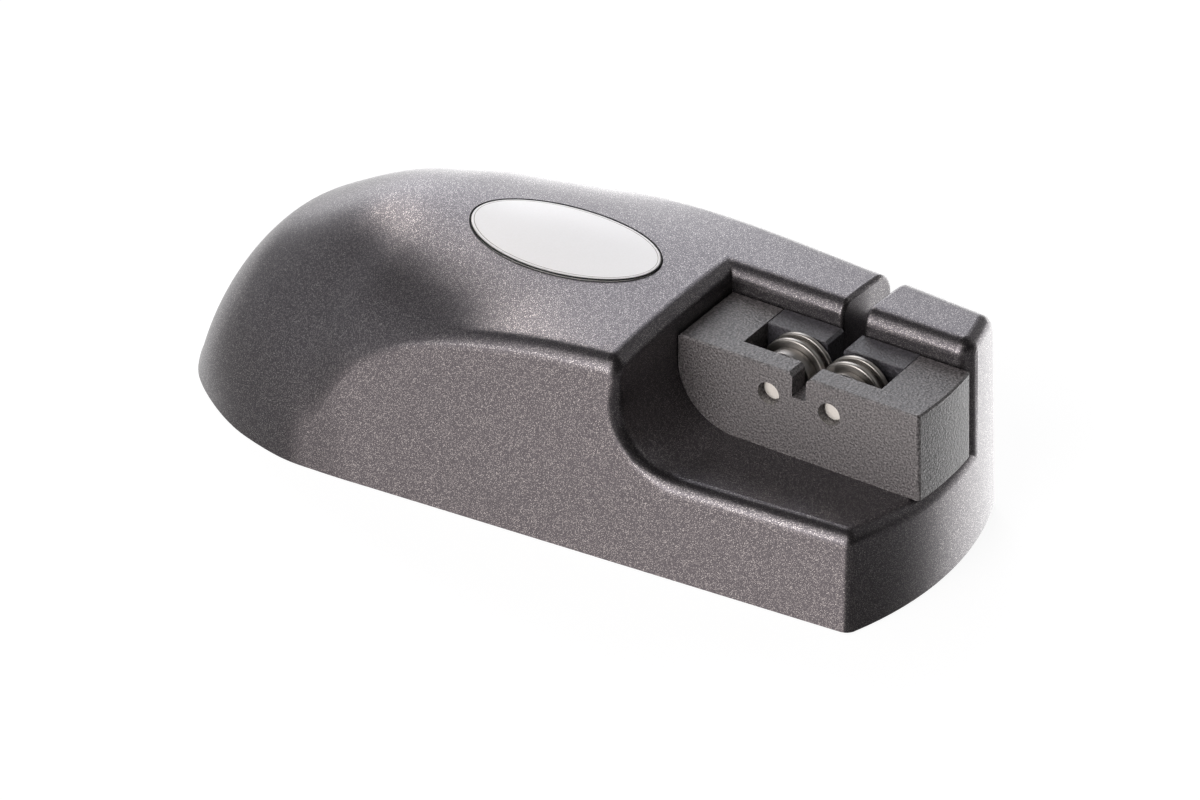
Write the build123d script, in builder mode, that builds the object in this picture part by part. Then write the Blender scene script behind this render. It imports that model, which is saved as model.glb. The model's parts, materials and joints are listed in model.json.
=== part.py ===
from build123d import *

import os
from math import cos, radians, sin, sqrt, tan

# A hand-held knife sharpener. +X points to the sharpening end, -Y is the side with
# the open pocket and +Z is up. The origin is on the table, under the middle.

# Body
body_length = 200.0
body_height = 53.3
grip_half_width = 44.4
nose_depth = 54.5
side_taper = 5.05
draft = 2.5
end_radius = 85.0
wall = 3.0
front_shoulder_radius = 4.5
back_shoulder_radius = 7.0
end_corner_radius = 3.0

# Pocket that holds the sharpening block
pocket_length = 64.9
pocket_floor_height = 24.8
block_gap = 0.2
lip_radius = 3.6
wall_slot_width = 5.4
wall_slot_rise = 13.2
wall_slot_bend = 1.0
wall_slot_edge = 1.0

# Sharpening block
block_depth = 22.4
block_height = 21.6
block_corner_radius = 15.0
block_edge = 0.4
block_corner_edge = 1.0
slot_offset = 33.1
slot_width = 3.6
slot_depth = 6.0
slot_edge = 1.0
window_length = 35.7
window_width = 9.95
front_wall = 5.4
window_floor = 5.1
keeper_gap = 0.12
keeper_slot_width = 4.2
keeper_slot_depth = 8.5
keeper_slot_edge = 0.7
keeper_edge = 0.2

# Rollers and their pins
axle_diameter = 5.5
axle_recess = 2.1
axle_back_inset = 1.2
axle_end_edge = 0.4
axle_running_gap = 0.05
axle_fit_gap = 0.02
axle_height = 14.3
axle_spacing = 15.7
disc_radius = 8.25
disc_thickness = 1.3
disc_edge = 0.25
disc_pitch = 3.0
middle_spacer_radius = 7.1
hub_radius = 6.35
washer_radius = 5.2
front_washer_thickness = 1.6
rear_washer_thickness = 0.45
roller_end_gap = 0.18
roller_stagger = 1.5

# Base plate, feet and screws
plate_thickness = 2.5
plate_gap = 0.35
foot_diameter = 12.0
foot_thickness = 2.0
foot_projection = 0.8
foot_gap = 0.15
foot_edge = 0.5
nose_foot_inset = 30.0
nose_foot_spread = 21.0
end_foot_inset = 17.0
end_foot_spread = 19.5
base_screw_length = 12.0
base_screw_diameter = 3.0
base_screw_head_diameter = 5.8
base_screw_head_height = 1.3
base_boss_diameter = 8.0
base_screw_web = 1.0
nose_screw_inset = 56.0
nose_screw_spread = 31.0
end_screw_inset = 36.0
end_screw_spread = 23.0
block_screw_length = 12.0
block_screw_diameter = 3.5
block_screw_head_diameter = 6.6
block_screw_head_height = 2.2
block_boss_diameter = 10.0
block_boss_drop = 4.0
block_screw_near = 10.0
block_screw_far = 9.5
screw_gap = 0.1
screw_tip_edge = 0.6
screw_head_edge = 0.3
drive_margin = 0.9
drive_width = 1.0
drive_depth = 0.8

# Badge
badge_x = -2.5
badge_half_length = 24.8
badge_half_width = 14.1
badge_gap = 0.45
badge_rise = 0.4
badge_edge = 0.3
badge_recess_depth = 2.2
badge_wall = 1.8
badge_wall_margin = 2.5
adhesive_thickness = 0.4
adhesive_inset = 1.5

# The hull is drawn below the table as well, and cut off at the shell's lower edge.
hidden_depth = 20.0
blend_least = 1.5
station_first = 1.5
station_growth = 1.35
station_step = 8.0

# Cutters run past what they cut by the overrun. Edges are picked by their place: within
# touch of a face, at sampled shares of their length, or in the last stretch of the body.
overrun = 4.0
touch = 0.01
edge_samples = (0.1, 0.3, 0.5, 0.7, 0.9)
end_stretch = 10.0

# Hull table at the nose: distance behind the tip, crest height, corner half width,
# corner height (shares of the body's height and half width) and the angle at which
# the crown meets the corner. The corner lies below the table where the nose has no
# side wall.
NOSE_TABLE = (
    (-4.0, -0.150, 0.275, -0.225, 36.5),
    (0.0, 0.000, 0.439, -0.225, 63.5),
    (3.0, 0.092, 0.493, -0.225, 76.5),
    (9.0, 0.338, 0.586, -0.110, 84.0),
    (20.0, 0.665, 0.766, 0.000, 87.5),
    (33.0, 0.833, 0.916, 0.007, 87.5),
    (50.0, 0.969, 0.996, 0.077, 87.5),
)
# The same behind the nose, where the flat sides give the half width: distance from
# the tip, crest height, corner height and crown angle.
GRIP_TABLE = (
    (62.0, 0.997, 0.452, 81.2),
    (72.0, 0.999, 0.653, 62.8),
    (88.0, 1.000, 0.814, 31.0),
    (102.0, 0.996, 0.890, 15.5),
)
# And along the pocket: distance from the right end, and the same heights and angle.
POCKET_TABLE = (
    (82.0, 0.991, 0.938, 8.0),
    (66.0, 0.990, 0.957, 5.0),
    (34.0, 0.990, 0.961, 5.0),
    (-4.0, 0.990, 0.962, 5.0),
)

# Places worked out from the sizes above
nose_x = -body_length / 2
end_x = body_length / 2
base_z = foot_projection
floor_z = base_z + pocket_floor_height
plate_top_z = base_z + plate_thickness
crest_z = base_z + body_height
lean = tan(radians(draft))

pocket_x = end_x - pocket_length
pocket_y = block_depth / 2 + block_gap
block_x = pocket_x + block_gap
block_front_y = -block_depth / 2
block_back_y = block_depth / 2
block_top_z = floor_z + block_height
slot_x = end_x - slot_offset
window_front_y = block_front_y + front_wall
keeper_front_y = window_front_y + window_width
window_floor_z = floor_z + window_floor
slot_floor_z = block_top_z - slot_depth
wall_slot_floor_z = floor_z + wall_slot_rise
keeper_slot_floor_z = block_top_z - keeper_slot_depth
axle_z = floor_z + axle_height
left_axle_x = slot_x - axle_spacing / 2
right_axle_x = slot_x + axle_spacing / 2
axle_front_y = block_front_y + axle_recess
axle_back_y = block_back_y - axle_back_inset
bore_radius = axle_diameter / 2 + axle_running_gap

badge_floor_z = crest_z - badge_recess_depth
base_screw_seat_z = plate_top_z - base_screw_web
block_screw_seat_z = floor_z - block_boss_drop

block_screw_places = ((block_x + block_screw_near, 0), (end_x - block_screw_far, 0))
base_screw_places = tuple(
    (x, side * spread)
    for x, spread in (
        (nose_x + nose_screw_inset, nose_screw_spread),
        (end_x - end_screw_inset, end_screw_spread),
    )
    for side in (-1, 1)
)
foot_places = {
    "foot_front_left": (nose_x + nose_foot_inset, -nose_foot_spread),
    "foot_rear_left": (nose_x + nose_foot_inset, nose_foot_spread),
    "foot_front_right": (end_x - end_foot_inset, -end_foot_spread),
    "foot_rear_right": (end_x - end_foot_inset, end_foot_spread),
}

LOW = (Align.CENTER, Align.CENTER, Align.MIN)


def side_half_width(x):
    """Half width at the table of the flat sides, which touch the nose's ellipse."""
    slope = tan(radians(side_taper))
    reach = sqrt((nose_depth * slope) ** 2 + grip_half_width**2)
    return reach - slope * (x - nose_x - nose_depth)


def hull_rows(inset):
    """Rows of x, crest, corner half width, corner height and crown angle."""
    height = body_height - inset
    narrow = 1 - inset / grip_half_width
    rows = []
    for tip, crest, corner_y, corner_z, angle in NOSE_TABLE:
        x = nose_x + inset + tip * (1 - inset / nose_depth)
        rows.append((x, crest * height, corner_y * grip_half_width * narrow, corner_z * height, angle))
    flat = [(nose_x + row[0], *row[1:]) for row in GRIP_TABLE]
    flat += [(end_x - row[0], *row[1:]) for row in POCKET_TABLE]
    for x, crest, corner, angle in flat:
        corner_z = corner * height
        rows.append((x, crest * height, (side_half_width(x) - corner_z * lean) * narrow, corner_z, angle))
    return rows


def steady_slopes(xs, ys):
    """Slope at each point of a table, so that a curve through it never overshoots."""
    runs = [b - a for a, b in zip(xs, xs[1:])]
    rises = [(b - a) / run for a, b, run in zip(ys, ys[1:], runs)]
    slopes = [rises[0]]
    for before, after, run, following in zip(rises, rises[1:], runs, runs[1:]):
        if before * after <= 0:
            slopes.append(0.0)
            continue
        early = 2 * following + run
        late = following + 2 * run
        slopes.append((early + late) / (early / before + late / after))
    return slopes + [rises[-1]]


def read_table(x, xs, ys, slopes):
    """Height of the smooth curve through a table."""
    row = max(i for i in range(len(xs) - 1) if xs[i] <= x or i == 0)
    run = xs[row + 1] - xs[row]
    t = (x - xs[row]) / run
    start = (1 + 2 * t) * (1 - t) ** 2 * ys[row] + t * (1 - t) ** 2 * run * slopes[row]
    finish = t * t * (3 - 2 * t) * ys[row + 1] - t * t * (1 - t) * run * slopes[row + 1]
    return start + finish


def corner_points(corner, crown_angle, radius):
    """Points of the rounded shoulder, from the side wall up to the crown."""
    turn = radians(90 - draft) - crown_angle
    leg = max(radius * tan(turn / 2), blend_least)
    handle = leg * (4 / 3 * tan(turn / 4) / tan(turn / 2) if turn > radians(1) else 2 / 3)
    down = (sin(radians(draft)), -cos(radians(draft)))
    up = (-cos(crown_angle), sin(crown_angle))
    return [
        (corner[0] + reach * way[0], corner[1] + reach * way[1])
        for way, reach in ((down, leg), (down, leg - handle), (up, leg - handle), (up, leg))
    ]


def hull_section(x, crest, corner_y, corner_z, angle):
    """Closed cross-section of the hull: two side walls, two shoulders and a crown."""
    crown_angle = radians(min(angle, 90 - draft))
    low_y = corner_y + (corner_z + hidden_depth) * lean
    low_z = base_z - hidden_depth
    front, back = (
        corner_points((corner_y, corner_z), crown_angle, radius)
        for radius in (front_shoulder_radius, back_shoulder_radius)
    )
    handles = []
    for y, z in (front[-1], back[-1]):
        reach = 4 / 3 * (crest - z) / sin(crown_angle)
        handles.append((y - reach * cos(crown_angle), z + reach * sin(crown_angle)))
    front = [(-y, z + base_z) for y, z in front + handles[:1]]
    back = [(y, z + base_z) for y, z in back + handles[1:]]
    with BuildSketch(Plane.YZ.offset(x)) as profile:
        with BuildLine():
            Line((-low_y, low_z), front[0])
            Bezier(*front[:4])
            Bezier(front[3], front[4], back[4], back[3])
            Bezier(*back[3::-1])
            Line(back[0], (low_y, low_z))
            Line((low_y, low_z), (-low_y, low_z))
        make_face()
    return profile.sketch


def hull_sections(inset):
    """Sections closer together at the nose, where the hull curves most."""
    rows = hull_rows(inset)
    xs = [row[0] for row in rows]
    columns = [[row[i] for row in rows] for i in range(1, 5)]
    curves = [(column, steady_slopes(xs, column)) for column in columns]
    places = []
    x, step = xs[0], station_first
    while x < xs[-1] - step / 2:
        places.append(x)
        step = min(step * station_growth, station_step)
        x += step
    places.append(xs[-1])
    return [hull_section(x, *(read_table(x, xs, *curve) for curve in curves)) for x in places]


def end_form(inset, low, high):
    """Everything to the left of the bowed right end, which leans in as it rises."""
    radius = end_radius - inset
    height = high - low
    with BuildPart() as form:
        with Locations((end_x - end_radius, 0, low)):
            Cone(radius - (low - base_z) * lean, radius - (high - base_z) * lean, height, align=LOW)
            Box(body_length, 2 * end_radius, height, align=(Align.MAX, Align.CENTER, Align.MIN))
    return form.part


def pocket_form(grow):
    """The L-shaped space over the pocket floor, open to the front, the top and the right."""
    left = pocket_x - grow
    low = floor_z - grow
    radius = block_corner_radius + block_gap + grow
    reach = body_length
    with BuildPart() as form:
        with BuildSketch(Plane.XZ.offset(-pocket_y - grow)):
            with BuildLine():
                Line((left, crest_z + reach), (left, low + radius))
                RadiusArc((left, low + radius), (left + radius, low), -radius)
                Line((left + radius, low), (end_x + reach, low))
                Line((end_x + reach, low), (end_x + reach, crest_z + reach))
                Line((end_x + reach, crest_z + reach), (left, crest_z + reach))
            make_face()
        extrude(amount=reach)
    return form.part


def on_pocket_rim(edge):
    """Whether an edge runs along the pocket's rear wall or its floor, but not both."""
    radius = block_corner_radius + block_gap
    on_rear = on_floor = True
    for point in edge.positions(edge_samples):
        right = point.X - pocket_x - radius
        above = point.Z - floor_z - radius
        if right < 0 and above < 0:
            away = radius - sqrt(right**2 + above**2)
        else:
            away = min(right, above) + radius
        on_rear = on_rear and abs(point.Y - pocket_y) < touch
        on_floor = on_floor and abs(away) < touch
    return on_rear != on_floor


def on_wall_slot(edge):
    """Whether an edge lies between the two sides of the rear wall's knife slot."""
    box = edge.bounding_box()
    return max(slot_x - box.min.X, box.max.X - slot_x) < wall_slot_width / 2 + touch


def hull_form(inset, low, high):
    """The hull with a thinner skin, between two heights, ready to be cut out or fitted."""
    with BuildPart() as form:
        loft(hull_sections(inset))
        split(bisect_by=Plane.XY.offset(low), keep=Keep.TOP)
        add(end_form(inset, low, high), mode=Mode.INTERSECT)
    return form.part


def upright_ellipse(half_length, half_width, low):
    """An upright elliptical column under the badge, from a height to above the hull."""
    with BuildPart() as form:
        with BuildSketch(Plane.XY.offset(low)):
            with Locations((badge_x, 0)):
                Ellipse(half_length, half_width)
        extrude(amount=crest_z + overrun - low)
    return form.part


def notch_form(width, low, edge):
    """A cutter for a slot down from the block's top, wider by an edge at its mouth."""
    side = width / 2
    with BuildPart() as form:
        with BuildSketch(Plane.XZ.offset(-block_depth)):
            with Locations((slot_x, 0)):
                Polygon(
                    (-side, low),
                    (side, low),
                    (side, block_top_z - edge),
                    (side + edge, block_top_z),
                    (side + edge, crest_z),
                    (-side - edge, crest_z),
                    (-side - edge, block_top_z),
                    (-side, block_top_z - edge),
                    align=None,
                )
        extrude(amount=2 * block_depth)
    return form.part


def screw_form(diameter, length, head_diameter, head_height):
    """A screw that points up, with the underside of its head at the origin."""
    drive_length = head_diameter - 2 * drive_margin
    with BuildPart() as form:
        Cylinder(diameter / 2, length, align=LOW)
        chamfer(form.edges().group_by(Axis.Z)[-1], screw_tip_edge)
        with Locations((0, 0, -head_height)):
            Cylinder(head_diameter / 2, head_height, align=LOW)
        chamfer(form.edges().group_by(Axis.Z)[0], screw_head_edge)
        with Locations((0, 0, -head_height)):
            Box(drive_length, drive_width, drive_depth, align=LOW, mode=Mode.SUBTRACT)
            Box(drive_width, drive_length, drive_depth, align=LOW, mode=Mode.SUBTRACT)
    return form.part


def ring_form(x, back_y, thickness, radius, edge):
    """One ring of a roller, from its rear face towards the front."""
    with BuildPart() as form:
        with BuildSketch(Plane.XZ.offset(-back_y)):
            with Locations((x, axle_z)):
                Circle(radius)
                Circle(bore_radius, mode=Mode.SUBTRACT)
        extrude(amount=thickness)
        if edge:
            circles = form.edges().filter_by(GeomType.CIRCLE)
            chamfer(circles.sort_by(lambda circle: circle.radius)[-2:], edge)
    return form.part


# The knife slot through the rear wall
with BuildPart() as wall_slot:
    with Locations((slot_x, pocket_y - overrun, wall_slot_floor_z)):
        Box(
            wall_slot_width,
            body_length,
            body_height,
            align=(Align.CENTER, Align.MIN, Align.MIN),
        )
    fillet(wall_slot.edges().filter_by(Axis.Y).group_by(Axis.Z)[0], wall_slot_bend)

# The hollow: the thinner hull less the walls of the pocket and of the slot, the screw
# bosses and the thicker skin under the badge
with BuildPart() as hollow:
    add(hull_form(wall, base_z - overrun, crest_z))
    add(pocket_form(wall), mode=Mode.SUBTRACT)
    with Locations((slot_x, 0, wall_slot_floor_z - wall)):
        Box(
            wall_slot_width + 2 * wall,
            body_length,
            body_height,
            align=(Align.CENTER, Align.CENTER, Align.MIN),
            mode=Mode.SUBTRACT,
        )
    with Locations(*[(x, y, plate_top_z) for x, y in base_screw_places]):
        Cylinder(base_boss_diameter / 2, body_height, align=LOW, mode=Mode.SUBTRACT)
    with Locations(*[(x, y, block_screw_seat_z) for x, y in block_screw_places]):
        Cylinder(block_boss_diameter / 2, body_height, align=LOW, mode=Mode.SUBTRACT)
    add(
        upright_ellipse(
            badge_half_length + badge_wall_margin,
            badge_half_width + badge_wall_margin,
            badge_floor_z - badge_wall,
        ),
        mode=Mode.SUBTRACT,
    )

# Housing: the hull with a rounded end and the pocket with its lips, then the cuts
with BuildPart() as housing_shell:
    add(hull_form(0, base_z, crest_z + overrun))
    end_edges = housing_shell.edges().filter_by_position(Axis.X, end_x - end_stretch, end_x + touch)
    fillet(end_edges.filter_by_position(Axis.Z, base_z + touch, crest_z + touch), end_corner_radius)
    add(pocket_form(0), mode=Mode.SUBTRACT)
    fillet(housing_shell.edges().filter_by(on_pocket_rim), lip_radius)
    add(wall_slot.part, mode=Mode.SUBTRACT)
    fillet(housing_shell.edges().filter_by(on_wall_slot), wall_slot_edge)
    add(upright_ellipse(badge_half_length, badge_half_width, badge_floor_z), mode=Mode.SUBTRACT)
    add(hollow.part, mode=Mode.SUBTRACT)
    with Locations(*[(x, y, plate_top_z) for x, y in base_screw_places]):
        Cylinder(
            base_screw_diameter / 2 + screw_gap,
            base_screw_length,
            align=LOW,
            mode=Mode.SUBTRACT,
        )
    with Locations(*[(x, y, block_screw_seat_z - overrun) for x, y in block_screw_places]):
        Cylinder(
            block_screw_diameter / 2 + screw_gap,
            block_screw_length,
            align=LOW,
            mode=Mode.SUBTRACT,
        )
housing_shell.part.label = "housing_shell"

# Base plate, flush with the housing's lower edge
with BuildPart() as base_plate:
    add(hull_form(wall + plate_gap, base_z, plate_top_z))
    with Locations(*[(x, y, base_z) for x, y in base_screw_places]):
        Cylinder(base_screw_diameter / 2 + screw_gap, plate_thickness, align=LOW, mode=Mode.SUBTRACT)
        Cylinder(
            base_screw_head_diameter / 2 + screw_gap,
            plate_thickness - base_screw_web,
            align=LOW,
            mode=Mode.SUBTRACT,
        )
    with Locations(*[(x, y, 0) for x, y in foot_places.values()]):
        Cylinder(foot_diameter / 2 + foot_gap, foot_thickness, align=LOW, mode=Mode.SUBTRACT)
base_plate.part.label = "base_plate"

base_screw = screw_form(
    base_screw_diameter, base_screw_length, base_screw_head_diameter, base_screw_head_height
)
with BuildPart() as base_screws:
    with Locations(*[(x, y, base_screw_seat_z) for x, y in base_screw_places]):
        add(base_screw)
base_screws.part.label = "base_screws"

feet = []
for name, (x, y) in foot_places.items():
    with BuildPart() as foot:
        with Locations((x, y, 0)):
            Cylinder(foot_diameter / 2, foot_thickness, align=LOW)
        fillet(foot.edges().group_by(Axis.Z)[0], foot_edge)
    foot.part.label = name
    feet.append(foot.part)

# Badge: it follows the crown a little above it, over a flat pad of adhesive
with BuildPart() as badge_adhesive:
    with BuildSketch(Plane.XY.offset(badge_floor_z)):
        with Locations((badge_x, 0)):
            Ellipse(badge_half_length - adhesive_inset, badge_half_width - adhesive_inset)
    extrude(amount=adhesive_thickness)
badge_adhesive.part.label = "badge_adhesive"

with BuildPart() as badge_plate:
    add(
        upright_ellipse(
            badge_half_length - badge_gap,
            badge_half_width - badge_gap,
            badge_floor_z + adhesive_thickness,
        )
    )
    raised_hull = hull_form(0, base_z, crest_z + overrun).moved(Location((0, 0, badge_rise)))
    add(raised_hull, mode=Mode.INTERSECT)
    fillet(badge_plate.edges().group_by(Axis.Z)[-1], badge_edge)
badge_plate.part.label = "badge_plate"

# Sharpening block
with BuildPart() as roller_block:
    with BuildSketch(Plane.XZ.offset(-block_back_y)):
        with BuildLine():
            Line((block_x, block_top_z), (block_x, floor_z + block_corner_radius))
            RadiusArc(
                (block_x, floor_z + block_corner_radius),
                (block_x + block_corner_radius, floor_z),
                -block_corner_radius,
            )
            Line((block_x + block_corner_radius, floor_z), (end_x + overrun, floor_z))
            Line((end_x + overrun, floor_z), (end_x + overrun, block_top_z))
            Line((end_x + overrun, block_top_z), (block_x, block_top_z))
        make_face()
    extrude(amount=block_depth)
    add(end_form(0, floor_z - overrun, crest_z), mode=Mode.INTERSECT)
    uprights = roller_block.edges().filter_by_position(Axis.X, end_x - end_stretch, end_x + touch)
    uprights = uprights.filter_by_position(Axis.Z, floor_z + touch, block_top_z - touch)
    fillet(uprights, block_corner_edge)
    chamfer(roller_block.edges().group_by(Axis.Z)[-1], block_edge)
    with Locations((slot_x, window_front_y, window_floor_z)):
        Box(
            window_length,
            block_depth,
            block_height,
            align=(Align.CENTER, Align.MIN, Align.MIN),
            mode=Mode.SUBTRACT,
        )
    add(notch_form(slot_width, slot_floor_z, slot_edge), mode=Mode.SUBTRACT)
    with Locations(*[(x, y, floor_z) for x, y in block_screw_places]):
        Cylinder(
            block_screw_diameter / 2 + screw_gap,
            block_screw_length - block_boss_drop + screw_gap,
            align=LOW,
            mode=Mode.SUBTRACT,
        )
    with Locations(Plane.XZ.offset(-window_front_y)):
        with Locations((left_axle_x, axle_z), (right_axle_x, axle_z)):
            Cylinder(
                axle_diameter / 2 + axle_fit_gap,
                front_wall + overrun,
                align=LOW,
                mode=Mode.SUBTRACT,
            )
roller_block.part.label = "roller_block"

with BuildPart() as block_keeper:
    with Locations((slot_x, keeper_front_y, window_floor_z)):
        Box(
            window_length - 2 * keeper_gap,
            block_back_y - keeper_front_y,
            block_top_z - window_floor_z,
            align=(Align.CENTER, Align.MIN, Align.MIN),
        )
    chamfer(block_keeper.edges().group_by(Axis.Z)[-1], keeper_edge)
    add(notch_form(keeper_slot_width, keeper_slot_floor_z, keeper_slot_edge), mode=Mode.SUBTRACT)
    with Locations(Plane.XZ.offset(-axle_back_y)):
        with Locations((left_axle_x, axle_z), (right_axle_x, axle_z)):
            Cylinder(
                axle_diameter / 2 + axle_fit_gap,
                axle_back_y - keeper_front_y,
                align=LOW,
                mode=Mode.SUBTRACT,
            )
block_keeper.part.label = "block_keeper"

block_screw = screw_form(
    block_screw_diameter, block_screw_length, block_screw_head_diameter, block_screw_head_height
)
with BuildPart() as block_screws:
    with Locations(*[(x, y, block_screw_seat_z) for x, y in block_screw_places]):
        add(block_screw)
block_screws.part.label = "block_screws"

# Pins, then the rings of each roller from the keeper to the front wall
pins = []
rings = []
stack_back_y = keeper_front_y - roller_end_gap
stack_front_y = window_front_y + roller_end_gap
middle_spacer_thickness = disc_pitch - disc_thickness
for side, x in (("left", left_axle_x), ("right", right_axle_x)):
    with BuildPart() as pin:
        with BuildSketch(Plane.XZ.offset(-axle_back_y)):
            with Locations((x, axle_z)):
                Circle(axle_diameter / 2)
        extrude(amount=axle_back_y - axle_front_y)
        chamfer(pin.edges(), axle_end_edge)
    pin.part.label = side + "_axle_pin"
    pins.append(pin.part)

    if side == "left":
        rear_ring = ("rear_washer", rear_washer_thickness, washer_radius)
    else:
        rear_ring = ("rear_spacer", rear_washer_thickness + roller_stagger, hub_radius)
    stack = [
        rear_ring,
        ("rear_disc", disc_thickness, disc_radius),
        ("middle_spacer", middle_spacer_thickness, middle_spacer_radius),
        ("front_disc", disc_thickness, disc_radius),
    ]
    used = sum(ring[1] for ring in stack) + front_washer_thickness
    stack.append(("front_spacer", stack_back_y - stack_front_y - used, hub_radius))
    stack.append(("front_washer", front_washer_thickness, washer_radius))
    back_y = stack_back_y
    for name, thickness, radius in stack:
        ring = ring_form(x, back_y, thickness, radius, disc_edge if radius == disc_radius else 0)
        ring.label = side + "_" + name
        rings.append(ring)
        back_y -= thickness

if __name__ == "__main__":
    os.makedirs("parts", exist_ok=True)
    pieces = [
        housing_shell.part,
        base_plate.part,
        base_screws.part,
        *feet,
        badge_plate.part,
        badge_adhesive.part,
        roller_block.part,
        block_keeper.part,
        block_screws.part,
        *pins,
        *rings,
    ]
    for piece in pieces:
        export_step(piece, "parts/" + piece.label + ".step")
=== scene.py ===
import json
import math

import bpy
from mathutils import Matrix, Vector


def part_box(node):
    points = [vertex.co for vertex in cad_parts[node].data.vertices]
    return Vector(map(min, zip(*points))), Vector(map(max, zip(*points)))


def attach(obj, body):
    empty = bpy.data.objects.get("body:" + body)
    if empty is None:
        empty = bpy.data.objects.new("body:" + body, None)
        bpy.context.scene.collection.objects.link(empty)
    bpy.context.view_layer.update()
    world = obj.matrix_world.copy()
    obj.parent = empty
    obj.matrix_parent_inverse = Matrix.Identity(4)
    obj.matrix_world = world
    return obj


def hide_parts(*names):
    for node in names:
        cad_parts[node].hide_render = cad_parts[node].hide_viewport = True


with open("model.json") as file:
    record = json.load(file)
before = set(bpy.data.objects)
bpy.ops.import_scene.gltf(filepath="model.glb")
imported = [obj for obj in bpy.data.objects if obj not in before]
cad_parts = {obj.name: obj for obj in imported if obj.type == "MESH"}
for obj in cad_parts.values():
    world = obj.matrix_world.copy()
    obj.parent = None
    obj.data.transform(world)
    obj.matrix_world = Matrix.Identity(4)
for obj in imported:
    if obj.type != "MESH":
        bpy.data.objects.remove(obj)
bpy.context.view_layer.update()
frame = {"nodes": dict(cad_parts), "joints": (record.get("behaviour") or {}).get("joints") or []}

bl_info = {
    "name": "Manual Knife Sharpener",
    "version": (1, 0, 0),
    "blender": (4, 5, 0),
    "location": "View3D > Sidebar > Sharpener",
    "description": "Dresses a packed knife sharpener and sets up its studio",
    "category": "Object",
}

MM = 0.001

SIDES = ("left", "right")
ROLLER_CENTRES = {joint["child"]: joint["pos_m"] for joint in frame["joints"]}
RINGS = {
    side: [node for node in frame["nodes"] if node.startswith(side) and not node.endswith("pin")]
    for side in SIDES
}

# Turned rings: corners round a ring and round its rounded edges, cuts along its flats, and
# the gap between its bore and the pin
RING_SIDES = 96
RING_EDGE_SIDES = 3
RING_FLAT_CUTS = 2
RUNNING_GAP = 0.05 * MM

# Lines round the badge: corners along and round a line, and the length of the drop that
# lays it on the badge, from half that length above
BEAD_SIDES = 160
BEAD_SECTION_SIDES = 10
BEAD_REACH = 30 * MM

# How deep each line sinks. The gap's line, a dark line of painted shadow, is laid just
# inside the badge's edge and then spread out over the gap.
RIM_DROP = 0.09 * MM
GAP_DROP = 0.15 * MM
GAP_INSET = 0.35 * MM
GAP_SPREAD = 0.55 * MM

# Turn of the housing's pattern, in radians, off every flat wall
PATTERN_TURN = (0.61, 0.43, 0.87)

# Panels of light round the sharpener: name, compass turn from +X and height in degrees,
# half angles of the bright middle and of the faded edge, strength and tone
ROOM_TONE = "#0c0c0c"
PANELS = (
    ("Window behind, upper", 131, 34, 6, 25, 2.5, "#f6f8ff"),
    ("Window behind, lower", 130, 5, 8, 27, 2.3, "#fbfcff"),
    ("Lamp behind", 143, 37, 2, 10, 4.0, "#fff4e8"),
    ("Wall at the left", 198, 0, 20, 75, 0.55, "#fbfbff"),
    ("Wall behind, right", 68, 20, 20, 50, 0.45, "#ffffff"),
    ("Window in front, lower", 262, 5, 8, 26, 6.0, "#fffcfb"),
    ("Window in front, upper", 262, 36, 8, 26, 3.4, "#fffcfb"),
)

# White paper under the sharpener, which reaches this many metres each way. Reflections see
# it darker, as painted shade, with painted glows on some sides that stand in for light on
# the paper: name, compass turn of the look, half angles of the bright middle and of the
# faded edge, strength and tone.
PAPER_REACH = 3.0
PAPER_TONE = "#f7f7f7"
MIRRORED_TONE = "#a0a0a0"
PAPER_GLOWS = (
    ("Paper in front", 260, 11, 26, 1.85, "#fff7f5"),
    ("Paper behind", 90, 25, 44, 2.8, "#ffffff"),
    ("Paper behind left", 145, 12, 33, 0.95, "#ffffff"),
    ("Paper at the left", 196, 18, 42, 0.24, "#ffffff"),
)

# The camera sees the paper mixed with this share of a white glow, so that all but the
# shadow is white.
WHITE_SHARE = 0.8
WHITE_STRENGTH = 1.15

# The camera's sensor in millimetres, and how far it sees in metres
SENSOR_WIDTH = 36.0
CLIP_END = 20.0


# Shader helpers

def srgb(code, alpha=1.0):
    """Linear RGBA from an sRGB hex code such as #39373a."""
    values = [int(code[i:i + 2], 16) / 255 for i in (1, 3, 5)]
    linear = [v / 12.92 if v <= 0.04045 else ((v + 0.055) / 1.055) ** 2.4 for v in values]
    return (*linear, alpha)


def new_material(name):
    """An empty material with its shader; returns the material, its tree and the shader."""
    material = bpy.data.materials.new(name)
    material.use_nodes = True
    tree = material.node_tree
    return material, tree, tree.nodes["Principled BSDF"]


def fill_sockets(tree, node, values):
    """Sets a node's inputs; each is either a value or the output socket to link from."""
    for key, value in values.items():
        if isinstance(value, bpy.types.NodeSocket):
            tree.links.new(value, node.inputs[key])
        else:
            node.inputs[key].default_value = value


def add_node(tree, kind, settings=None, inputs=None):
    """Adds a node with its settings and inputs."""
    node = tree.nodes.new(kind)
    for key, value in (settings or {}).items():
        setattr(node, key, value)
    fill_sockets(tree, node, inputs or {})
    return node


def texture_scale(size):
    """Texture scale that gives features of a real size."""
    return 1 / size


def direction(turn, height):
    """Direction at a compass turn from +X, anticlockwise from above, and a height angle."""
    turn, height = math.radians(turn), math.radians(height)
    return (
        math.cos(turn) * math.cos(height),
        math.sin(turn) * math.cos(height),
        math.sin(height),
    )


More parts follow.
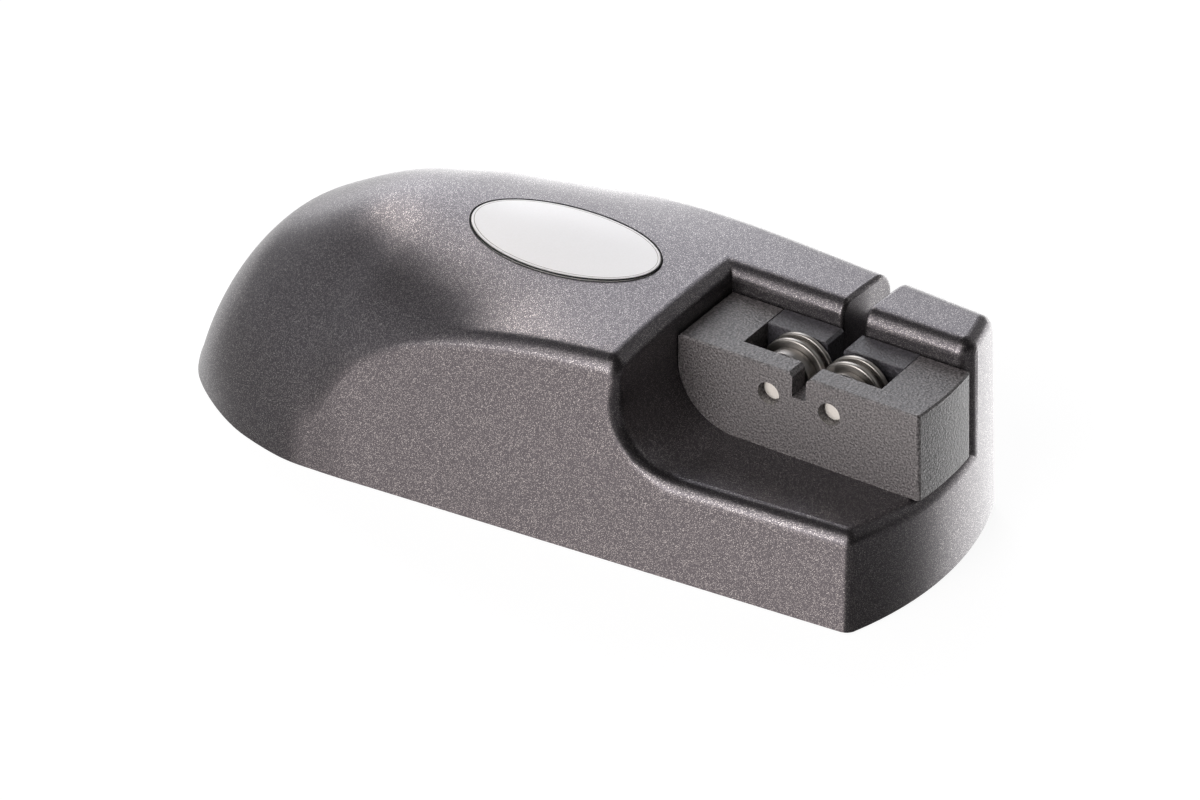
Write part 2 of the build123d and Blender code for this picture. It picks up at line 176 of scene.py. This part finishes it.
def add_panel(tree, name, way, axis, inner, outer, strength, tone, glow):
    """Adds a round soft-edged panel of light to a glow and returns the brighter glow."""
    reach = add_node(tree, "ShaderNodeVectorMath", {"operation": "DOT_PRODUCT"}, {0: way, 1: axis})
    fade = add_node(
        tree,
        "ShaderNodeMapRange",
        {"interpolation_type": "SMOOTHSTEP", "label": name},
        {
            "Value": reach.outputs["Value"],
            "From Min": math.cos(math.radians(outer)),
            "From Max": math.cos(math.radians(inner)),
            "To Max": strength,
        },
    )
    tinted = add_node(
        tree,
        "ShaderNodeVectorMath",
        {"operation": "MULTIPLY_ADD"},
        {0: fade.outputs[0], 1: srgb(tone)[:3], 2: glow},
    )
    return tinted.outputs[0]


def dress(node, material):
    """Gives a CAD node one material."""
    slots = frame["nodes"][node].data.materials
    slots.clear()
    slots.append(material)


# Geometry Nodes

def new_geometry_tree(name, sockets):
    """A Geometry Nodes tree with named inputs; returns the tree and its input sockets."""
    tree = bpy.data.node_groups.new(name, "GeometryNodeTree")
    tree.interface.new_socket(name="Geometry", in_out="OUTPUT", socket_type="NodeSocketGeometry")
    for label, kind in sockets:
        tree.interface.new_socket(name=label, in_out="INPUT", socket_type="NodeSocket" + kind)
    return tree, add_node(tree, "NodeGroupInput").outputs


def end_geometry_tree(tree, geometry, finish):
    """Smooths the faces, makes instances real, sets the material and ends the tree."""
    smooth = add_node(tree, "GeometryNodeSetShadeSmooth", inputs={"Geometry": geometry})
    whole = add_node(tree, "GeometryNodeRealizeInstances", inputs={"Geometry": smooth.outputs[0]})
    dressed = add_node(
        tree,
        "GeometryNodeSetMaterial",
        inputs={"Geometry": whole.outputs[0], "Material": finish},
    )
    add_node(tree, "NodeGroupOutput", inputs={0: dressed.outputs[0]})


def bake_tree(name, tree, values):
    """Runs a tree with the given inputs and keeps the result as a plain mesh object."""
    piece = bpy.data.objects.new(name, bpy.data.meshes.new(name))
    bpy.context.collection.objects.link(piece)
    modifier = piece.modifiers.new(tree.name, "NODES")
    modifier.node_group = tree
    for socket in tree.interface.items_tree:
        if socket.in_out == "INPUT":
            modifier[socket.identifier] = values[socket.name]
    evaluated = piece.evaluated_get(bpy.context.evaluated_depsgraph_get())
    mesh = bpy.data.meshes.new_from_object(evaluated)
    piece.modifiers.remove(modifier)
    piece.data = mesh
    mesh.name = name
    return piece


def ring_tree():
    """A turned ring on an axis along Y: a rounded rectangle swept round a circle."""
    tree, given = new_geometry_tree("Turned ring", (
        ("Outer radius", "Float"),
        ("Bore radius", "Float"),
        ("Thickness", "Float"),
        ("Edge radius", "Float"),
        ("Centre", "Vector"),
        ("Finish", "Material"),
    ))
    total = add_node(
        tree,
        "ShaderNodeMath",
        {"operation": "ADD"},
        {0: given["Outer radius"], 1: given["Bore radius"]},
    )
    middle = add_node(
        tree, "ShaderNodeMath", {"operation": "MULTIPLY"}, {0: total.outputs[0], 1: 0.5}
    )
    width = add_node(
        tree,
        "ShaderNodeMath",
        {"operation": "SUBTRACT"},
        {0: given["Outer radius"], 1: given["Bore radius"]},
    )
    circle = add_node(
        tree,
        "GeometryNodeCurvePrimitiveCircle",
        inputs={"Resolution": RING_SIDES, "Radius": middle.outputs[0]},
    )
    section = add_node(
        tree,
        "GeometryNodeCurvePrimitiveQuadrilateral",
        inputs={"Width": width.outputs[0], "Height": given["Thickness"]},
    )
    rounded = add_node(
        tree,
        "GeometryNodeFilletCurve",
        {"mode": "POLY"},
        {
            "Curve": section.outputs[0],
            "Count": RING_EDGE_SIDES,
            "Radius": given["Edge radius"],
            "Limit Radius": True,
        },
    )
    # Points along the flats keep the smoothed shading of the edges away from their middle.
    finer = add_node(
        tree,
        "GeometryNodeSubdivideCurve",
        inputs={"Curve": rounded.outputs[0], "Cuts": RING_FLAT_CUTS},
    )
    swept = add_node(
        tree,
        "GeometryNodeCurveToMesh",
        inputs={"Curve": circle.outputs[0], "Profile Curve": finer.outputs[0]},
    )
    placed = add_node(
        tree,
        "GeometryNodeTransform",
        inputs={
            "Geometry": swept.outputs[0],
            "Translation": given["Centre"],
            "Rotation": (math.pi / 2, 0, 0),
        },
    )
    end_geometry_tree(tree, placed.outputs[0], given["Finish"])
    return tree


def bead_tree():
    """A round bead dropped onto a surface along an ellipse, then spread and sunk a little."""
    tree, given = new_geometry_tree("Bead round the badge", (
        ("Surface", "Object"),
        ("Above", "Vector"),
        ("Half size", "Vector"),
        ("Bead radius", "Float"),
        ("Spread", "Vector"),
        ("Lowered", "Vector"),
        ("Finish", "Material"),
    ))
    circle = add_node(
        tree, "GeometryNodeCurvePrimitiveCircle", inputs={"Resolution": BEAD_SIDES, "Radius": 1.0}
    )
    above = add_node(
        tree,
        "GeometryNodeTransform",
        inputs={
            "Geometry": circle.outputs[0],
            "Translation": given["Above"],
            "Scale": given["Half size"],
        },
    )
    surface = add_node(tree, "GeometryNodeObjectInfo", inputs={"Object": given["Surface"]})
    touched = add_node(
        tree,
        "GeometryNodeRaycast",
        inputs={
            "Target Geometry": surface.outputs["Geometry"],
            "Ray Direction": (0.0, 0.0, -1.0),
            "Ray Length": BEAD_REACH,
        },
    )
    laid = add_node(
        tree,
        "GeometryNodeSetPosition",
        inputs={"Geometry": above.outputs[0], "Position": touched.outputs["Hit Position"]},
    )
    moved = add_node(
        tree,
        "GeometryNodeTransform",
        inputs={
            "Geometry": laid.outputs[0],
            "Translation": given["Lowered"],
            "Scale": given["Spread"],
        },
    )
    section = add_node(
        tree,
        "GeometryNodeCurvePrimitiveCircle",
        inputs={"Resolution": BEAD_SECTION_SIDES, "Radius": given["Bead radius"]},
    )
    swept = add_node(
        tree,
        "GeometryNodeCurveToMesh",
        inputs={"Curve": moved.outputs[0], "Profile Curve": section.outputs[0]},
    )
    end_geometry_tree(tree, swept.outputs[0], given["Finish"])
    return tree


# Materials

def metallic_abs(finish):
    """Injection-moulded ABS full of aluminium flakes, from a finely spark-eroded tool. The
    flakes lie just under the surface, so it shines broadly like a rough metal. Single flakes
    that would face the light are painted as lighter grains, a painted glint on top of the
    flakes' paler metal. They are drawn a few times coarser than real ones, so that they show."""
    material, tree, shader = new_material("Moulded ABS, graphite with aluminium flakes")
    turned = add_node(
        tree,
        "ShaderNodeMapping",
        inputs={
            "Vector": add_node(tree, "ShaderNodeTexCoord").outputs["Object"],
            "Rotation": PATTERN_TURN,
        },
    )
    place = turned.outputs[0]
    flakes = add_node(
        tree,
        "ShaderNodeTexVoronoi",
        {"voronoi_dimensions": "3D"},
        {"Vector": place, "Scale": texture_scale(finish.flake_pitch)},
    )
    # One flake in each cell of the pattern. Three in five, picked at random, get a painted glint
    # as if they faced the light; two in five stay dark.
    cell = add_node(tree, "ShaderNodeSeparateColor", inputs={"Color": flakes.outputs["Color"]})
    painted_glint = add_node(
        tree,
        "ShaderNodeMapRange",
        {"interpolation_type": "SMOOTHSTEP"},
        {"Value": cell.outputs["Red"], "From Min": 0.42, "From Max": 0.95},
    )
    # A flake fills the middle of its cell and ends before the next one.
    inside = add_node(
        tree,
        "ShaderNodeMapRange",
        {"interpolation_type": "SMOOTHSTEP"},
        {"Value": flakes.outputs["Distance"], "From Min": 0.55, "From Max": 0.25},
    )
    flake_glint_mask = add_node(
        tree,
        "ShaderNodeMath",
        {"operation": "MULTIPLY", "use_clamp": True},
        {0: painted_glint.outputs[0], 1: inside.outputs[0]},
    )
    # Pigment that is mixed a little unevenly
    clouds = add_node(
        tree,
        "ShaderNodeTexNoise",
        inputs={
            "Vector": place,
            "Scale": texture_scale(0.9 * MM),
            "Detail": 4.0,
            "Roughness": 0.7,
        },
    )
    plain = add_node(
        tree,
        "ShaderNodeMix",
        {"data_type": "RGBA"},
        {
            "Factor": clouds.outputs["Fac"],
            6: tuple(finish.dark_colour),
            7: tuple(finish.body_colour),
        },
    )
    # Flake cells take the flakes' paler metal together with their painted glint.
    colour = add_node(
        tree,
        "ShaderNodeMix",
        {"data_type": "RGBA"},
        {"Factor": flake_glint_mask.outputs[0], 6: plain.outputs[2], 7: tuple(finish.flake_and_glint_colour)},
    )
    roughness = add_node(
        tree,
        "ShaderNodeMapRange",
        inputs={"Value": flake_glint_mask.outputs[0], "To Min": 0.34, "To Max": 0.26},
    )
    # The skin that the spark-eroded tool leaves
    grain = add_node(
        tree,
        "ShaderNodeTexNoise",
        inputs={"Vector": place, "Scale": texture_scale(0.45 * MM), "Detail": 2.0},
    )
    bump = add_node(
        tree,
        "ShaderNodeBump",
        inputs={"Height": grain.outputs["Fac"], "Strength": 0.2, "Distance": 0.03 * MM},
    )
    fill_sockets(tree, shader, {
        "Base Color": colour.outputs[2],
        "Metallic": 0.9,
        "Roughness": roughness.outputs[0],
        "Normal": bump.outputs[0],
    })
    return material


def grained_nylon(name, low, high, pitch):
    """Glass-filled nylon moulded in an etched tool: pebbled like leather, dry and dark, with
    a faint skin of shine."""
    material, tree, shader = new_material(name)
    place = add_node(tree, "ShaderNodeTexCoord").outputs["Object"]
    pebbles = add_node(
        tree,
        "ShaderNodeTexVoronoi",
        {"feature": "SMOOTH_F1"},
        {"Vector": place, "Scale": texture_scale(pitch), "Smoothness": 0.6},
    )
    # Glass fibres that lie in the skin show as specks a little finer than the pebbles.
    speckle = add_node(
        tree,
        "ShaderNodeTexNoise",
        inputs={
            "Vector": place,
            "Scale": texture_scale(pitch * 0.7),
            "Detail": 3.0,
            "Roughness": 0.6,
        },
    )
    height = add_node(
        tree,
        "ShaderNodeMath",
        {"operation": "ADD"},
        {0: pebbles.outputs["Distance"], 1: speckle.outputs["Fac"]},
    )
    spread = add_node(
        tree,
        "ShaderNodeMapRange",
        inputs={"Value": speckle.outputs["Fac"], "From Min": 0.41, "From Max": 0.6},
    )
    colour = add_node(
        tree,
        "ShaderNodeMix",
        {"data_type": "RGBA"},
        {"Factor": spread.outputs[0], 6: srgb(low), 7: srgb(high)},
    )
    bump = add_node(
        tree,
        "ShaderNodeBump",
        inputs={"Height": height.outputs[0], "Strength": 0.8, "Distance": 0.12 * MM},
    )
    fill_sockets(tree, shader, {
        "Base Color": colour.outputs[2],
        "Roughness": 0.45,
        "Normal": bump.outputs[0],
        "IOR": 1.6,
        "Specular IOR Level": 0.85,
    })
    return material


def turned_steel(name, centre, tone, dark_tone, roughness):
    """Hardened steel turned and ground on its pin: fine rings round the axis stretch the
    highlights, and the colour is darker in the grooves between them. The grooves are drawn
    a few times coarser than a lathe leaves them, so that they show."""
    material, tree, shader = new_material(name)
    place = add_node(
        tree,
        "ShaderNodeMapping",
        inputs={
            "Vector": add_node(tree, "ShaderNodeTexCoord").outputs["Object"],
            "Location": tuple(-value for value in centre),
        },
    )
    axes = add_node(tree, "ShaderNodeSeparateXYZ", inputs={"Vector": place.outputs[0]})
    flat = add_node(
        tree, "ShaderNodeCombineXYZ", inputs={"X": axes.outputs["X"], "Y": axes.outputs["Z"]}
    )
    reach = add_node(tree, "ShaderNodeVectorMath", {"operation": "LENGTH"}, {0: flat.outputs[0]})
    rings = add_node(
        tree,
        "ShaderNodeCombineXYZ",
        inputs={"X": reach.outputs["Value"], "Y": axes.outputs["Y"]},
    )
    grooves = add_node(
        tree,
        "ShaderNodeTexNoise",
        inputs={"Vector": rings.outputs[0], "Scale": texture_scale(0.35 * MM), "Detail": 4.0},
    )
    colour = add_node(
        tree,
        "ShaderNodeMix",
        {"data_type": "RGBA"},
        {"Factor": grooves.outputs["Fac"], 6: srgb(dark_tone), 7: srgb(tone)},
    )
    bump = add_node(
        tree,
        "ShaderNodeBump",
        inputs={"Height": grooves.outputs["Fac"], "Strength": 0.4, "Distance": 0.02 * MM},
    )
    fill_sockets(tree, shader, {
        "Base Color": colour.outputs[2],
        "Metallic": 1.0,
        "Roughness": roughness,
        "Normal": bump.outputs[0],
    })
    return material


def pearl_plate():
    """Pearl-white lacquered plate under a poured clear cap: even, bright, with a wet edge."""
    material, tree, shader = new_material("Pearl lacquer under clear resin")
    place = add_node(tree, "ShaderNodeTexCoord").outputs["Object"]
    pearl = add_node(
        tree,
        "ShaderNodeTexNoise",
        inputs={"Vector": place, "Scale": texture_scale(0.5 * MM), "Detail": 2.0},
    )
    colour = add_node(
        tree,
        "ShaderNodeMix",
        {"data_type": "RGBA"},
        {"Factor": pearl.outputs["Fac"], 6: srgb("#f0ede9"), 7: srgb("#f7f5f3")},
    )
    fill_sockets(tree, shader, {
        "Base Color": colour.outputs[2],
        "Roughness": 0.35,
        "Coat Weight": 0.8,
        "Coat Roughness": 0.06,
    })
    return material


def plain_finish(name, tone, speck_tone, speck_size, roughness, metallic=0.0, bump_height=0.0):
    """A moulded, poured or plated surface whose colour and height vary a little."""
    material, tree, shader = new_material(name)
    place = add_node(tree, "ShaderNodeTexCoord").outputs["Object"]
    specks = add_node(
        tree,
        "ShaderNodeTexNoise",
        inputs={"Vector": place, "Scale": texture_scale(speck_size), "Detail": 3.0},
    )
    colour = add_node(
        tree,
        "ShaderNodeMix",
        {"data_type": "RGBA"},
        {"Factor": specks.outputs["Fac"], 6: srgb(tone), 7: srgb(speck_tone)},
    )
    bump = add_node(
        tree,
        "ShaderNodeBump",
        inputs={"Height": specks.outputs["Fac"], "Strength": 0.4, "Distance": bump_height},
    )
    fill_sockets(tree, shader, {
        "Base Color": colour.outputs[2],
        "Roughness": roughness,
        "Metallic": metallic,
        "Normal": bump.outputs[0],
    })
    return material


# Sizes and colours that a user would change

class SharpenerFinish(bpy.types.PropertyGroup):
    """Finish of the sharpener's surfaces."""

    flake_pitch: bpy.props.FloatProperty(
        name="Flake pitch",
        description="Distance between the aluminium flakes in the housing",
        unit="LENGTH",
        default=0.19 * MM,
        min=0.05 * MM,
    )
    # The flakes' paler metal together with a painted glint, as if they faced the light
    flake_and_glint_colour: bpy.props.FloatVectorProperty(
        name="Flake colour",
        description="Colour of the aluminium flakes that face the light",
        subtype="COLOR",
        size=4,
        min=0.0,
        max=1.0,
        default=srgb("#c2bdba"),
    )
    body_colour: bpy.props.FloatVectorProperty(
        name="Housing colour",
        description="Colour of the housing where the flakes are dense",
        subtype="COLOR",
        size=4,
        min=0.0,
        max=1.0,
        default=srgb("#656164"),
    )
    dark_colour: bpy.props.FloatVectorProperty(
        name="Dark housing colour",
        description="Colour of the housing where the flakes are few",
        subtype="COLOR",
        size=4,
        min=0.0,
        max=1.0,
        default=srgb("#4c494c"),
    )
    grain_pitch: bpy.props.FloatProperty(
        name="Grain pitch",
        description="Size of the pebbled grain on the sharpening block",
        unit="LENGTH",
        default=0.64 * MM,
        min=0.05 * MM,
    )
    disc_edge: bpy.props.FloatProperty(
        name="Disc edge",
        description="Rounding of the sharpening discs' rims",
        unit="LENGTH",
        default=0.42 * MM,
        min=0.0,
    )
    spacer_edge: bpy.props.FloatProperty(
        name="Spacer edge",
        description="Rounding of the spacers' and washers' rims",
        unit="LENGTH",
        default=0.18 * MM,
        min=0.0,
    )
    rim_inset: bpy.props.FloatProperty(
        name="Badge rim",
        description="Width of the badge's rim outside the poured resin",
        unit="LENGTH",
        default=0.75 * MM,
        min=0.0,
    )
    rim_line: bpy.props.FloatProperty(
        name="Resin edge",
        description="Thickness of the line where the poured resin ends",
        unit="LENGTH",
        default=0.24 * MM,
        min=0.0,
    )
    # A line of painted shadow, in the foam tape's finish, in the gap round the badge
    gap_shadow_line: bpy.props.FloatProperty(
        name="Badge gap line",
        description="Thickness of the dark line in the gap round the badge",
        unit="LENGTH",
        default=0.4 * MM,
        min=0.0,
    )


class SharpenerStudio(bpy.types.PropertyGroup):
    """The camera."""

    look_at: bpy.props.FloatVectorProperty(
        name="Look at",
        description="Point that the camera looks at",
        subtype="TRANSLATION",
        unit="LENGTH",
        default=(0.030354, -0.035199, 0.040765),
    )
    distance: bpy.props.FloatProperty(
        name="Camera distance",
        description="Distance from the camera to the point that it looks at",
        unit="LENGTH",
        default=1.1008,
    )
    azimuth: bpy.props.FloatProperty(
        name="Azimuth",
        description="Angle of the camera from the front, towards the right end",
        subtype="ANGLE",
        default=math.radians(33.687),
    )
    elevation: bpy.props.FloatProperty(
        name="Elevation",
        description="Height angle of the camera",
        subtype="ANGLE",
        default=math.radians(32.378),
    )
    lens: bpy.props.FloatProperty(
        name="Lens",
        description="Focal length of the camera",
        unit="CAMERA",
        default=150.0,
    )


# Operators

class SHARPENER_OT_housing(bpy.types.Operator):
    """Finishes the housing, its base plate, screws and feet"""

    bl_idname = "sharpener.housing"
    bl_label = "Housing"

    def execute(self, context):
        dress("housing_shell", metallic_abs(context.scene.sharpener_finish))
        # Black ABS without flakes: dull and even.
        plate = plain_finish(
            "Moulded ABS, black", "#232324", "#2b2b2c", 0.6 * MM, 0.5, bump_height=0.02 * MM
        )
        dress("base_plate", plate)
        # Zinc plating: a pale metal, slightly clouded.
        zinc = plain_finish(
            "Zinc-plated steel", "#a6a8ab", "#c2c3c4", 0.4 * MM, 0.3, metallic=1.0
        )
        for node in ("base_screws", "block_screws"):
            dress(node, zinc)
        # Moulded rubber: black and quite matt.
        rubber = plain_finish(
            "Moulded rubber", "#171717", "#202020", 0.3 * MM, 0.75, bump_height=0.02 * MM
        )
        for node in frame["nodes"]:
            if node.startswith("foot_"):
                dress(node, rubber)
        return {"FINISHED"}


class SHARPENER_OT_badge(bpy.types.Operator):
    """Finishes the bare oval badge, its edge lines and its adhesive pad"""

    bl_idname = "sharpener.badge"
    bl_label = "Badge"

    def execute(self, context):
        finish = context.scene.sharpener_finish
        dress("badge_plate", pearl_plate())
        # Foam tape: the dark, dry edge that shows in the gap round the badge. The same finish
        # is spread over the gap as a line of painted shadow.
        foam = plain_finish(
            "Acrylic foam tape", "#1d1d1e", "#272728", 0.3 * MM, 0.9, bump_height=0.02 * MM
        )
        dress("badge_adhesive", foam)
        # Edge of the resin: a thin brownish line laid where the poured resin ends.
        resin = plain_finish("Edge of the poured resin", "#857a6e", "#94897c", 0.4 * MM, 0.3)
        low, high = (Vector(corner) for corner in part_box("badge_plate"))
        half = (high - low) / 2
        tree = bead_tree()
        lines = (
            ("rim", "badge_plate", resin, finish.rim_line, finish.rim_inset, 0.0, RIM_DROP),
            # The gap's line is painted shadow in the foam tape's finish.
            ("gap", "badge_adhesive", foam, finish.gap_shadow_line, GAP_INSET, GAP_SPREAD, GAP_DROP),
        )
        for place, node, material, thickness, inset, spread, drop in lines:
            piece = bake_tree("badge_" + place + "_line", tree, {
                "Surface": frame["nodes"]["badge_plate"],
                "Above": ((low.x + high.x) / 2, (low.y + high.y) / 2, high.z + BEAD_REACH / 2),
                "Half size": (half.x - inset, half.y - inset, 1.0),
                "Bead radius": thickness / 2,
                "Spread": (1 + spread / half.x, 1 + spread / half.y, 1.0),
                "Lowered": (0.0, 0.0, -drop),
                "Finish": material,
            })
            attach(piece, "body")
        return {"FINISHED"}


class SHARPENER_OT_block(bpy.types.Operator):
    """Finishes the sharpening block, its keeper and the pins"""

    bl_idname = "sharpener.block"
    bl_label = "Sharpening block"

    def execute(self, context):
        pitch = context.scene.sharpener_finish.grain_pitch
        block = grained_nylon("Glass-filled nylon, block", "#2f2b2c", "#757070", pitch)
        dress("roller_block", block)
        # The keeper's copy of the same nylon is darker than the block's: painted shade under the
        # housing's rear wall, which hangs over it.
        keeper = grained_nylon("Glass-filled nylon, keeper", "#29282d", "#535157", pitch)
        dress("block_keeper", keeper)
        # Ground steel: the pins' ends are pale, warm and satin.
        ground = plain_finish(
            "Ground pin steel", "#e4e0d8", "#efece6", 0.3 * MM, 0.5, metallic=1.0
        )
        for side in SIDES:
            dress(side + "_axle_pin", ground)
        return {"FINISHED"}


class SHARPENER_OT_rollers(bpy.types.Operator):
    """Finishes the rings of both rollers"""

    bl_idname = "sharpener.rollers"
    bl_label = "Rollers"

    def execute(self, context):
        finish = context.scene.sharpener_finish
        tree = ring_tree()
        for side in SIDES:
            centre = ROLLER_CENTRES[side + "_roller"]
            disc = turned_steel(
                "Ground steel disc, " + side, centre, "#bcb8b3", "#928e89", 0.36
            )
            spacer = turned_steel(
                "Turned steel spacer, " + side, centre, "#a8a5a3", "#787572", 0.42
            )
            low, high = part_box(side + "_axle_pin")
            bore = (high[0] - low[0]) / 2 + RUNNING_GAP
            for node in RINGS[side]:
                low, high = (Vector(corner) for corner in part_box(node))
                is_disc = node.endswith("disc")
                piece = bake_tree(node + "_turned", tree, {
                    "Outer radius": (high.x - low.x) / 2,
                    "Bore radius": bore,
                    "Thickness": high.y - low.y,
                    "Edge radius": finish.disc_edge if is_disc else finish.spacer_edge,
                    "Centre": (low + high) / 2,
                    "Finish": disc if is_disc else spacer,
                })
                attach(piece, side + "_roller")
                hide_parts(node)
        return {"FINISHED"}


class SHARPENER_OT_stage(bpy.types.Operator):
    """Sets up the paper floor, the light of the room and the camera"""

    bl_idname = "sharpener.stage"
    bl_label = "Stage"

    def execute(self, context):
        context.scene.view_settings.view_transform = "Standard"
        self.add_floor()
        self.add_world(context.scene)
        self.add_camera(context.scene)
        return {"FINISHED"}

    def add_floor(self):
        """White paper: plainly lit, but whitened for the camera, darker in reflections as painted
        shade, and brighter in reflections on some sides through painted glows."""
        far = PAPER_REACH
        corners = [(-far, -far, 0), (far, -far, 0), (far, far, 0), (-far, far, 0)]
        mesh = bpy.data.meshes.new("floor")
        mesh.from_pydata(corners, [], [(0, 1, 2, 3)])
        floor = bpy.data.objects.new("floor", mesh)
        bpy.context.collection.objects.link(floor)
        material, tree, shader = new_material("White paper sweep")
        rays = add_node(tree, "ShaderNodeLightPath")
        mirrored = add_node(
            tree,
            "ShaderNodeMath",
            {"operation": "MAXIMUM"},
            {0: rays.outputs["Is Glossy Ray"], 1: rays.outputs["Is Transmission Ray"]},
        )
        # Reflections see the paper in a darker tone: painted shade.
        sheet = add_node(
            tree,
            "ShaderNodeMix",
            {"data_type": "RGBA"},
            {"Factor": mirrored.outputs[0], 6: srgb(PAPER_TONE), 7: srgb(MIRRORED_TONE)},
        )
        fill_sockets(tree, shader, {"Base Color": sheet.outputs[2], "Roughness": 0.9})
        white = add_node(
            tree,
            "ShaderNodeEmission",
            inputs={"Color": srgb("#ffffff"), "Strength": WHITE_STRENGTH},
        )
        seen = add_node(
            tree,
            "ShaderNodeMath",
            {"operation": "MULTIPLY"},
            {0: rays.outputs["Is Camera Ray"], 1: WHITE_SHARE},
        )
        plain = add_node(
            tree,
            "ShaderNodeMixShader",
            inputs={0: seen.outputs[0], 1: shader.outputs[0], 2: white.outputs[0]},
        )
        look = add_node(tree, "ShaderNodeNewGeometry").outputs["Incoming"]
        level = add_node(
            tree,
            "ShaderNodeVectorMath",
            {"operation": "MULTIPLY"},
            {0: look, 1: (-1.0, -1.0, 0.0)},
        )
        way = add_node(
            tree, "ShaderNodeVectorMath", {"operation": "NORMALIZE"}, {0: level.outputs[0]}
        )
        # Painted glows that only reflections see, standing in for light on the paper
        glow = (0.0, 0.0, 0.0)
        for name, turn, inner, outer, strength, tone in PAPER_GLOWS:
            axis = direction(turn, 0)
            glow = add_panel(tree, name, way.outputs[0], axis, inner, outer, strength, tone, glow)
        shine = add_node(
            tree, "ShaderNodeEmission", inputs={"Color": glow, "Strength": mirrored.outputs[0]}
        )
        both = add_node(
            tree, "ShaderNodeAddShader", inputs={0: plain.outputs[0], 1: shine.outputs[0]}
        )
        tree.links.new(both.outputs[0], tree.nodes["Material Output"].inputs["Surface"])
        mesh.materials.append(material)

    def add_world(self, scene):
        """Soft panels of light round a dim room; the camera itself sees plain white."""
        world = bpy.data.worlds.new("Studio")
        scene.world = world
        world.use_nodes = True
        tree = world.node_tree
        way = add_node(tree, "ShaderNodeTexCoord").outputs["Generated"]
        glow = srgb(ROOM_TONE)[:3]
        for name, turn, height, inner, outer, strength, tone in PANELS:
            axis = direction(turn, height)
            glow = add_panel(tree, name, way, axis, inner, outer, strength, tone, glow)
        rays = add_node(tree, "ShaderNodeLightPath")
        shown = add_node(
            tree,
            "ShaderNodeMix",
            {"data_type": "RGBA"},
            {"Factor": rays.outputs["Is Camera Ray"], 6: glow, 7: srgb("#ffffff")},
        )
        tree.links.new(shown.outputs[2], tree.nodes["Background"].inputs["Color"])

    def add_camera(self, scene):
        """A long lens that looks down at the sharpener from the front right, not rolled."""
        studio = scene.sharpener_studio
        back = Vector((
            math.sin(studio.azimuth) * math.cos(studio.elevation),
            -math.cos(studio.azimuth) * math.cos(studio.elevation),
            math.sin(studio.elevation),
        ))
        right = Vector((math.cos(studio.azimuth), math.sin(studio.azimuth), 0))
        up = back.cross(right)
        lens = bpy.data.cameras.new("Camera")
        lens.lens = studio.lens
        lens.sensor_width = SENSOR_WIDTH
        lens.clip_end = CLIP_END
        camera = bpy.data.objects.new("Camera", lens)
        bpy.context.collection.objects.link(camera)
        turn = Matrix((right, up, back)).transposed().to_4x4()
        place = Vector(studio.look_at) + studio.distance * back
        camera.matrix_world = Matrix.Translation(place) @ turn
        scene.camera = camera


class SHARPENER_PT_panel(bpy.types.Panel):
    """Lists the sharpener's settings and operators"""

    bl_label = "Knife Sharpener"
    bl_idname = "SHARPENER_PT_panel"
    bl_space_type = "VIEW_3D"
    bl_region_type = "UI"
    bl_category = "Sharpener"

    def draw(self, context):
        for group in (context.scene.sharpener_finish, context.scene.sharpener_studio):
            box = self.layout.box()
            for key in group.__annotations__:
                box.prop(group, key)
        for operator in OPERATORS:
            self.layout.operator(operator.bl_idname)


OPERATORS = (
    SHARPENER_OT_housing,
    SHARPENER_OT_badge,
    SHARPENER_OT_block,
    SHARPENER_OT_rollers,
    SHARPENER_OT_stage,
)
CLASSES = (SharpenerFinish, SharpenerStudio, *OPERATORS, SHARPENER_PT_panel)


def register():
    for item in CLASSES:
        bpy.utils.register_class(item)
    bpy.types.Scene.sharpener_finish = bpy.props.PointerProperty(type=SharpenerFinish)
    bpy.types.Scene.sharpener_studio = bpy.props.PointerProperty(type=SharpenerStudio)


def unregister():
    del bpy.types.Scene.sharpener_studio
    del bpy.types.Scene.sharpener_finish
    for item in reversed(CLASSES):
        bpy.utils.unregister_class(item)


def main():
    register()
    bpy.ops.sharpener.housing()
    bpy.ops.sharpener.badge()
    bpy.ops.sharpener.block()
    bpy.ops.sharpener.rollers()
    bpy.ops.sharpener.stage()


if __name__ == "__main__":
    main()
